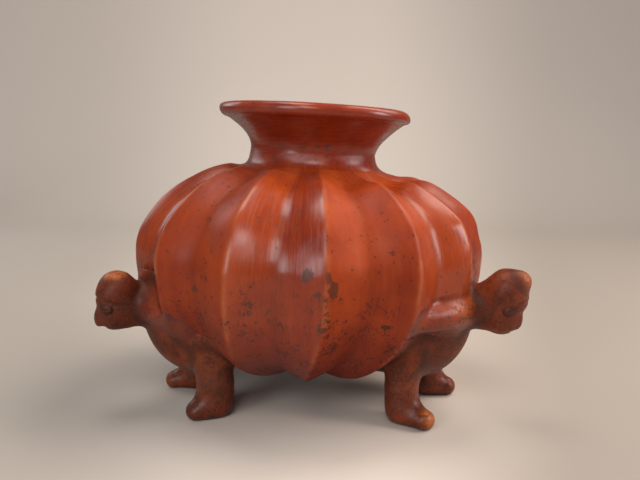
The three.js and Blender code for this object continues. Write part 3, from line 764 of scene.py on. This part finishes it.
def tapered_roll(points, start, end, start_radius, end_radius, flatten=(1, 1, 1)):
    """How far points lie outside a round-ended roll of clay; flatten widens it along an axis by its share."""
    squeezed = points / flatten
    start, end = np.array(start, float) / flatten, np.array(end, float) / flatten
    way = end - start
    share = np.clip((squeezed - start) @ way / (way @ way), 0, 1)
    near = np.linalg.norm(squeezed - start - share[:, None] * way, axis=1)
    return near - (start_radius + (end_radius - start_radius) * share)


def luted(first, second, fillet):
    """Two bodies smoothed into each other with a fillet of wet clay."""
    close = np.maximum(fillet - np.abs(first - second), 0)
    return np.minimum(first, second) - close**2 / (4 * fillet)


BLOCK = 4  # in cells: only near the skin is a field worked out cell by cell


def skin(field, low, high, cell):
    """A closed mesh over the points where a field of distances is nought, as points and four-cornered faces."""
    low, high = np.array(low, float), np.array(high, float)
    counts = np.ceil((high - low) / cell / BLOCK).astype(int) * BLOCK + 1
    grid = np.stack(np.meshgrid(*(np.arange(n) for n in counts), indexing="ij"), -1)
    sparse = grid[::BLOCK, ::BLOCK, ::BLOCK]
    far_values = field(sparse.reshape(-1, 3) * cell + low).reshape(sparse.shape[:3])
    i, j, k = np.moveaxis((grid + BLOCK // 2) // BLOCK, -1, 0)
    values = far_values[i, j, k]
    close = np.abs(values) < 1.8 * BLOCK * cell
    values[close] = field(grid[close] * cell + low)
    for axis in range(3):
        ends = np.moveaxis(values, axis, 0)
        ends[0] = np.maximum(ends[0], 0.1)
        ends[-1] = np.maximum(ends[-1], 0.1)
    within = values < 0
    total = np.zeros(tuple(counts - 1) + (3,))
    hits = np.zeros(counts - 1)
    for axis in range(3):
        for a in (0, 1):
            for b in (0, 1):
                start = [0, 0, 0]
                start[(axis + 1) % 3], start[(axis + 2) % 3] = a, b
                end = list(start)
                end[axis] = 1
                one = values[tuple(slice(s, s + n - 1) for s, n in zip(start, counts))]
                two = values[tuple(slice(s, s + n - 1) for s, n in zip(end, counts))]
                crossed = (one < 0) != (two < 0)
                share = np.where(crossed, one / np.where(crossed, one - two, 1), 0)
                spot = np.zeros(total.shape)
                spot[..., axis] = share
                spot[..., (axis + 1) % 3] = a
                spot[..., (axis + 2) % 3] = b
                total += spot * crossed[..., None]
                hits += crossed
    active = hits > 0
    index = np.full(active.shape, -1)
    index[active] = np.arange(active.sum())
    corner = np.stack(np.nonzero(active), -1)
    points = (corner + total[active] / hits[active][:, None]) * cell + low
    faces = []
    for axis in range(3):
        one = np.moveaxis(within, axis, 0)
        crossed = one[:-1] != one[1:]
        crossed[:, 0] = crossed[:, -1] = False
        crossed[:, :, 0] = crossed[:, :, -1] = False
        i, j, k = np.nonzero(crossed)
        cells = np.moveaxis(index, axis, 0)
        around = np.stack([cells[i, j - 1, k - 1], cells[i, j, k - 1], cells[i, j, k], cells[i, j - 1, k]], 1)
        leaving = one[:-1][i, j, k] != (axis == 1)
        faces.append(np.where(leaving[:, None], around, around[:, ::-1]))
    for _ in range(2):
        value = field(points)
        slope = np.stack([field(points + step) - field(points - step) for step in np.eye(3) * 0.05], 1) / 0.1
        move = slope * (value / np.maximum((slope**2).sum(1), 0.2))[:, None]
        size = np.linalg.norm(move, axis=1)
        points = points - move * np.minimum(1, 0.6 * cell / np.maximum(size, 1e-9))[:, None]
    return points, np.concatenate(faces)


# The bearers: three crouching people of solid clay who stand with their backs to the belly. Each was made of
# rolled and pinched lumps, luted on with slip and smoothed, with pellet eyes and a pressed mouth. A bearer faces
# +X in its own frame, +Y is its left side, and the gourd's axis is at x = 0.
# Lumps are given as centre and radii. The nape has its front end, its top there and in front, and its underside.
# The brow line has its height, its fall and its depth, and a foot its splay in degrees, its heel and its toe.
# The spots of painted shade, such as under the chin and between the legs, and those where the slip is thin are given
# as centre and reach.
BEARERS = [
    {
        "name": "left_bearer",
        "azimuth": 202.5,
        "skull": ((145.6, 0, 89.0), (13.4, 15.2, 14.7)),
        "face": ((147.5, 0, 73.8), (12.0, 12.4, 12.0)),
        "brow": ((150.0, 0, 86.5), (9.0, 12.5, 7.5)),
        "nose": ((158.2, 0, 70.6), (3.2, 3.4, 6.2)),
        "nape": (138, 91.5, 98.5, 62.6),
        "brow_line": (85.5, 0.24, 0.85),
        "mouth_height": 64.6,
        "eye": (154.0, 10.8, 79.6),
        "eye_slant": 0.15,
        "topknot": None,
        "hand_drop": 7,
        "arm_stand": (0.0, -10.5),
        "arm_reach": 16,
        "arm_radius": 8.6,
        "leg_stand": 83.5,
        "ankle_radius": 11.2,
        "feet": {1: (12, 10.5, 22), -1: (12, 11, 26)},
        "shade_spots": [((88, 34, 30), 19), ((98, 34, 12), 14), ((118, 10, 60), 12), ((134, 12, 84), 9)],
        "thin_spots": [((147, 4, 105), 9), ((122, -34, 80), 12)],
    },
    {
        "name": "right_bearer",
        "azimuth": 333,
        "skull": ((152.2, 0, 95.4), (13.4, 15.4, 14.7)),
        "face": ((150.6, 0, 77.4), (11.0, 12.0, 12.2)),
        "brow": ((155.4, 0, 89.0), (10.0, 12.5, 8.0)),
        "nose": ((159.4, 0, 75.5), (3.0, 3.6, 5.8)),
        "nape": (146, 96.0, 106.5, 65.6),
        "brow_line": (88.0, 0.1, 0.4),
        "mouth_height": 67.4,
        "eye": (156.2, 11.4, 84.6),
        "eye_slant": 0.6,
        "topknot": (160.5, 0, 102.6),
        "hand_drop": 0,
        "arm_stand": (1.0, -9.5),
        "arm_reach": 24,
        "arm_radius": 9.6,
        "leg_stand": 88.5,
        "ankle_radius": 9.7,
        "feet": {1: (16, 11, 22.5), -1: (16, 8.3, 26.5)},
        "shade_spots": [((112, -26, 60), 13), ((150, -14, 92), 6), ((136, -12, 80), 10)],
        "thin_spots": [((162, 0, 103), 9), ((123, -20, 84), 13), ((112, -34, 8), 9)],
    },
    {
        "name": "back_bearer",
        "azimuth": 89,
        "skull": ((147.3, 0, 92.4), (13.4, 15.3, 14.7)),
        "face": ((148.2, 0, 77.0), (11.5, 12.1, 12.3)),
        "brow": ((152.0, 0, 89.0), (9.6, 12.5, 7.5)),
        "nose": ((158.4, 0, 76.5), (3.1, 3.4, 5.4)),
        "nape": (141, 94.0, 103.0, 64.0),
        "brow_line": (86.5, 0.17, 0.6),
        "mouth_height": 68.4,
        "eye": (155.2, 11.0, 82.5),
        "eye_slant": 0.35,
        "topknot": None,
        "hand_drop": 4,
        "arm_stand": (0.5, -9.5),
        "arm_reach": 21,
        "arm_radius": 9.2,
        "leg_stand": 87,
        "ankle_radius": 11.0,
        "feet": {1: (14, 12, 23), -1: (14, 12, 24)},
        "shade_spots": [((110, 20, 58), 13), ((96, -34, 30), 10), ((134, 0, 98), 8)],
        "thin_spots": [((150, 8, 101), 10), ((128, 14, 84), 12), ((110, -32, 8), 12), ((110, 32, 8), 11)],
    },
]


def to_vessel(points, bearer):
    """Turns points from a bearer's own frame to the vessel's."""
    x, y = turned(points[:, 0], points[:, 1], math.radians(bearer["azimuth"]))
    return np.stack([x, y, points[:, 2]], 1)


# The heads: a skull, a fuller face, a brow and a nose pinched from one lump of clay, with the nape drawn back from
# it to the gourd. The line under the brow, the mouth and the nostrils are pressed in with a stick.
NAPE_HALF_WIDTH = 12.5
NAPE_BACK = 126.0  # where the nape's top starts to rise or fall towards the head
NAPE_END = 10.0  # how long its rounded front end is, inside the head
FACE_FRONT = 158.0
BROW_GROOVE, BROW_GROOVE_ENDS = 1.4, (134, 142)  # how wide each mark is, and between which x it fades in
MOUTH_GROOVE, MOUTH_DEPTH, MOUTH_ENDS, MOUTH_CORNERS = 0.8, 0.6, (150, 154), (8.5, 6.5)
NOSTRIL_SIZE, NOSTRIL_DEPTH, NOSTRIL_ENDS = 1.0, 0.7, (156, 158)
NOSTRIL_DROP, NOSTRIL_SIDE = 3.2, 2.0  # from the middle of the nose


def head_distance(points, bearer):
    """How far points lie outside a head and its nape."""
    x, y, z = points.T
    head = ellipsoid(points, *bearer["skull"])
    for lump, fillet in (("face", 8), ("brow", 4), ("nose", 3)):
        head = luted(head, ellipsoid(points, *bearer[lump]), fillet)
    level, fall, depth = bearer["brow_line"]
    brow_line = (z - level + fall * (FACE_FRONT - x)) / BROW_GROOVE
    head = head + depth * np.exp(-(brow_line**2)) * smoothstep(*BROW_GROOVE_ENDS, x)
    mouth = MOUTH_DEPTH * np.exp(-(((z - bearer["mouth_height"]) / MOUTH_GROOVE) ** 2))
    head = head + mouth * smoothstep(*MOUTH_ENDS, x) * smoothstep(*MOUTH_CORNERS, np.abs(y))
    nostril = np.hypot(z - bearer["nose"][0][2] + NOSTRIL_DROP, np.abs(y) - NOSTRIL_SIDE) / NOSTRIL_SIZE
    head = head + NOSTRIL_DEPTH * np.exp(-(nostril**2)) * smoothstep(*NOSTRIL_ENDS, x)
    end, low_top, high_top, bottom = bearer["nape"]
    share = (x - NAPE_BACK) / (end - NAPE_BACK)
    top = low_top + (high_top - low_top) * np.clip(share, 0, 1) ** 1.3
    middle, half = (top + bottom) / 2, (top - bottom) / 2
    away = np.stack([np.maximum(x - end, 0) / NAPE_END, y / NAPE_HALF_WIDTH, (z - middle) / half])
    around = np.linalg.norm(away, axis=0)
    steep = np.linalg.norm(away / [[NAPE_END], [NAPE_HALF_WIDTH], [20]], axis=0)
    nape = around * (around - 1) / np.maximum(steep, 1e-6)
    return luted(head, nape, NAPE_FILLET)


# The legs: stout columns of rolled clay under the belly, each with a foot pinched out at its end and set down on a
# flat sole.
HIP_HALF_SPACING = 29.0
HIP_HEIGHT = 58.0
THIGH_RADIUS = 15.5
ANKLE_HEIGHT = 19.0
HEEL_RADIUS, HEEL_HEIGHT = 9.3, 8.6
TOE_RADIUS, TOE_HEIGHT = 6.8, 6.1
SHIN_FILLET, FOOT_FILLET = 8.0, 9.0
SOLE_ROUND = 2.0  # how far the edge of the sole is rounded


def leg_distance(points, bearer, side):
    """How far points lie outside a leg and its foot."""
    splay, heel, toe = bearer["feet"][side]
    middle = np.array([bearer["leg_stand"], side * HIP_HALF_SPACING, 0.0])
    ankle = bearer["ankle_radius"]
    column = tapered_roll(points, middle + (0, 0, HIP_HEIGHT), middle + (0, 0, ANKLE_HEIGHT), THIGH_RADIUS, ankle)
    shin = tapered_roll(points, middle + (0, 0, ANKLE_HEIGHT + 3), middle + (1, 0, 9), ankle, ankle - 1.5)
    local = points - middle
    forward, across = turned(local[:, 0], local[:, 1], -side * math.radians(splay))
    along_foot = np.stack([forward, across, local[:, 2]], 1)
    heel_middle, toe_middle = (HEEL_RADIUS - heel, 0, HEEL_HEIGHT), (toe - TOE_RADIUS, 0, TOE_HEIGHT)
    foot = tapered_roll(along_foot, heel_middle, toe_middle, HEEL_RADIUS, TOE_RADIUS, flatten=(1, 1.2, 1))
    leg = luted(luted(column, shin, SHIN_FILLET), foot, FOOT_FILLET)
    floor = -points[:, 2]
    close = np.maximum(SOLE_ROUND - np.abs(leg - floor), 0)
    return np.maximum(leg, floor) + close**2 / (4 * SOLE_ROUND)


# The arms: rolls of clay laid back along the belly from beside the nape, thinner and sunk deeper towards the hand,
# which is pressed flat into the wall.
ARM_DROP = 32.0  # how far below the girth it starts
ARM_START = 4.0  # degrees from the bearer's middle
ARM_TAPER = 0.35
ARM_ROLLS = 8  # short rolls that follow the wall
ARM_FILLET = 6.0


def crest_radius(height):
    """The radius of the lobes' crests at a height below the girth."""
    return np.interp(height, belly[:, 1], belly[:, 0])


def arm_distance(points, bearer, side):
    """How far points lie outside an arm and its hand."""
    nearest = np.full(len(points), 1e3)
    spots = []
    for share in np.linspace(0, 1, ARM_ROLLS + 1):
        angle = side * math.radians(ARM_START + bearer["arm_reach"] * share)
        height = GIRTH_HEIGHT - ARM_DROP - bearer["hand_drop"] * share
        radius = crest_radius(height) + bearer["arm_stand"][0] + bearer["arm_stand"][1] * share
        spots.append((radius * math.cos(angle), radius * math.sin(angle), height))
    for i, (start, end) in enumerate(zip(spots[:-1], spots[1:])):
        radii = [bearer["arm_radius"] * (1 - ARM_TAPER * step / ARM_ROLLS) for step in (i, i + 1)]
        nearest = np.minimum(nearest, tapered_roll(points, start, end, *radii, flatten=(1, 1, 1.12)))
    return nearest


# The torsos: each a fat egg of clay under the belly. It is smoothed into the gourd, the legs and the head, and the
# pieces part along seams that the wet slip has closed.
TORSO_CENTRE = np.array([86.0, 0, 74])
TORSO_RADII = np.array([42.5, 38.5, 50])
GOURD_FILLET = 9.0
LIMB_FILLET = 12.0
NAPE_FILLET = 6.0
SEAM_SINK = 0.08  # how fast one piece dips under its neighbour past the seam between them
LAP = 7.0  # how far it runs on there


def figure_distances(points, bearer):
    """The distances to the gourd and to the pieces of a bearer that are worked into one another."""
    return {
        "gourd": gourd_distance(to_vessel(points, bearer)),
        "torso": ellipsoid(points, TORSO_CENTRE, TORSO_RADII),
        "left_leg": leg_distance(points, bearer, 1),
        "right_leg": leg_distance(points, bearer, -1),
        "head": head_distance(points, bearer),
    }


def figure_skin(parts):
    """The distance to all of them luted together."""
    body = luted(parts["torso"], parts["left_leg"], LIMB_FILLET)
    body = luted(body, parts["right_leg"], LIMB_FILLET)
    body = luted(body, parts["gourd"], GOURD_FILLET)
    return luted(body, parts["head"], NAPE_FILLET)


def body_piece(piece, bearer):
    """The field of one piece: the common skin, which dips under the next piece and ends there."""
    fillet, run_out = (NAPE_FILLET, 9) if piece == "head" else (GOURD_FILLET, 5)

    def field(points):
        parts = figure_distances(points, bearer)
        others = [value for name, value in parts.items() if name not in (piece, "gourd")]
        past_seam = parts[piece] - np.minimum.reduce(others)
        on_gourd = parts[piece] - parts["gourd"] - (fillet - 0.5)
        shell = figure_skin(parts) + SEAM_SINK * (np.maximum(past_seam, 0) + 3 * np.maximum(on_gourd, 0))
        return np.maximum.reduce([shell, past_seam - LAP, on_gourd - run_out, -parts["gourd"] - 5])

    return field


def laid_on(distance, bearer, fillet, root, dive=1, run_out=1.5):
    """The field of a piece that lies on the finished body: it thins out along its fillet and ends under the skin."""

    def field(points):
        base = figure_skin(figure_distances(points, bearer))
        own = distance(points)
        past_edge = own - base - (fillet - 0.25)
        shell = luted(own, base, fillet) + dive * SEAM_SINK * np.maximum(past_edge, 0)
        return np.maximum.reduce([shell, past_edge - run_out, -base - root])

    return field


# The eyes: an almond pellet of clay pressed on each cheek, with a slit drawn along it by a reed.
EYE_FILLET = 1.2
EYE_ANGLE = 50  # degrees that an eye is turned away from the middle of the face
EYE_RADII = (4.8, 3.0, 2.3)
EYE_ROOM = 6.5  # half the side of the box that it is meshed in
SLIT_WIDTH, SLIT_DEPTH = 0.42, 0.8
SLIT_ENDS = (0.8, 0.55)  # between these shares of the pellet's length it fades in


def eye_distance(points, bearer, side):
    """How far points lie outside an eye."""
    x, y, height = bearer["eye"]
    turn = side * math.radians(EYE_ANGLE)
    out = np.array([math.cos(turn), math.sin(turn), 0.0])
    along = np.array([-math.sin(turn), math.cos(turn), -side * bearer["eye_slant"]])
    along /= np.linalg.norm(along)
    away = points - (x, side * y, height)
    u, w = away @ along, away @ out
    v = away @ np.cross(out, along)
    pellet = ellipsoid(np.stack([u, v, w], 1), (0, 0, 0), EYE_RADII)
    slit = np.exp(-((v / SLIT_WIDTH) ** 2)) * smoothstep(*SLIT_ENDS, np.abs(u) / EYE_RADII[0])
    return pellet + SLIT_DEPTH * slit


# The topknot: a knob of clay set over the brow of one bearer, with more of the red slip left on it.
TOPKNOT_FILLET = 5.0
TOPKNOT_RADII = (6.4, 7.5, 6.4)
TOPKNOT_ROOM = 14.0


# On the figures, painted shade darkens the seams and the places under the chin and between the legs, and the slip has
# gone thin where hands have held them. The arms are still red, but worn to brown beside the nape.
SEAM_SHADE = (6.5, 0.5)  # millimetres from a seam between which the painted shade fades in
EDGE_SHADE = (2.5, 0.2)  # the same round a piece that was laid on, and where that meets the head
HEAD_SHADE = (4.5, 0.5)
ARM_WEAR = 0.35
ARM_BROWN = (21, 11)


def spot_share(points, spots):
    """How near points are to any of the spots, from 0 to 1."""
    return np.maximum.reduce(
        [np.exp(-((np.linalg.norm(points - middle, axis=1) / reach) ** 2)) for middle, reach in spots]
    )


def add_piece(name, bearer, field, box, cell, worn=1.0, luted_on=False):
    """Meshes a piece of a bearer inside a box of its frame, in cells of some millimetres, and hides the CAD part of
    that name.
    """
    points, faces = skin(field, *box, cell)
    parts = figure_distances(points, bearer)
    nearest = np.sort(np.stack(list(parts.values())), axis=0)
    # painted shade along the seams between pieces, and round a piece that was laid on and where it meets the head
    painted_shade = smoothstep(*SEAM_SHADE, nearest[1] - nearest[0])
    if luted_on:
        painted_shade = np.maximum(0.6 * smoothstep(*EDGE_SHADE, figure_skin(parts)), smoothstep(*HEAD_SHADE, parts["head"]))
    if worn == ARM_WEAR:
        worn = worn + (1 - worn) * smoothstep(*ARM_BROWN, np.abs(points[:, 1]))
    traits = {
        "thin": spot_share(points, bearer["thin_spots"]),
        "painted_shade": np.maximum(painted_shade, 0.8 * spot_share(points, bearer["shade_spots"])),
        "cluster": 0.5,
        "figure": worn * smoothstep(-0.5, 2.5, parts["gourd"]),
    }
    made = mesh_object("clay_" + name, to_vessel(points, bearer), [tuple(face) for face in faces], slip, traits)
    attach(made, "root")
    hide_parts(name)


def sided_box(side, x, y, z):
    """The low and the high corner of a box on a bearer's left, or mirrored to its right."""
    return tuple(zip(x, sorted((side * y[0], side * y[1])), z))


def make_bearer(bearer):
    """One bearer: torso, head, on each side a leg, an arm and an eye, and the topknot where there is one."""
    name, stand = bearer["name"], bearer["leg_stand"]
    torso_box, head_box = ((48, -44, 22), (134, 44, 100)), ((104, -26, 48), (168, 26, 126))
    add_piece(name + "_torso", bearer, body_piece("torso", bearer), torso_box, 1.2)
    add_piece(name + "_head", bearer, body_piece("head", bearer), head_box, 0.8)
    for hand, side in (("left", 1), ("right", -1)):
        leg = f"{hand}_leg"
        leg_box = sided_box(side, (stand - 28, stand + 36), (4, 58), (-1.5, 64))
        add_piece(f"{name}_{leg}", bearer, body_piece(leg, bearer), leg_box, 1.0)
        arm = laid_on(lambda points: arm_distance(points, bearer, side), bearer, ARM_FILLET, 5, 4, 3)
        arm_box = sided_box(side, (94, 142), (-8, 76), (56, 98))
        add_piece(f"{name}_{hand}_arm", bearer, arm, arm_box, 1.0, ARM_WEAR, True)
        x, y, height = bearer["eye"]
        eye = laid_on(lambda points: eye_distance(points, bearer, side), bearer, EYE_FILLET, 1.5)
        spot = np.array([x, side * y, height])
        eye_box = (spot - EYE_ROOM, spot + EYE_ROOM)
        add_piece(f"{name}_{hand}_eye", bearer, eye, eye_box, 0.35, 1.0, True)
    if bearer["topknot"]:
        knot = np.array(bearer["topknot"])
        lump = laid_on(lambda points: ellipsoid(points, knot, TOPKNOT_RADII), bearer, TOPKNOT_FILLET, 3)
        knot_box = (knot - TOPKNOT_ROOM, knot + TOPKNOT_ROOM)
        add_piece(name + "_topknot", bearer, lump, knot_box, 0.6, 0.8, True)


for bearer in BEARERS:
    make_bearer(bearer)
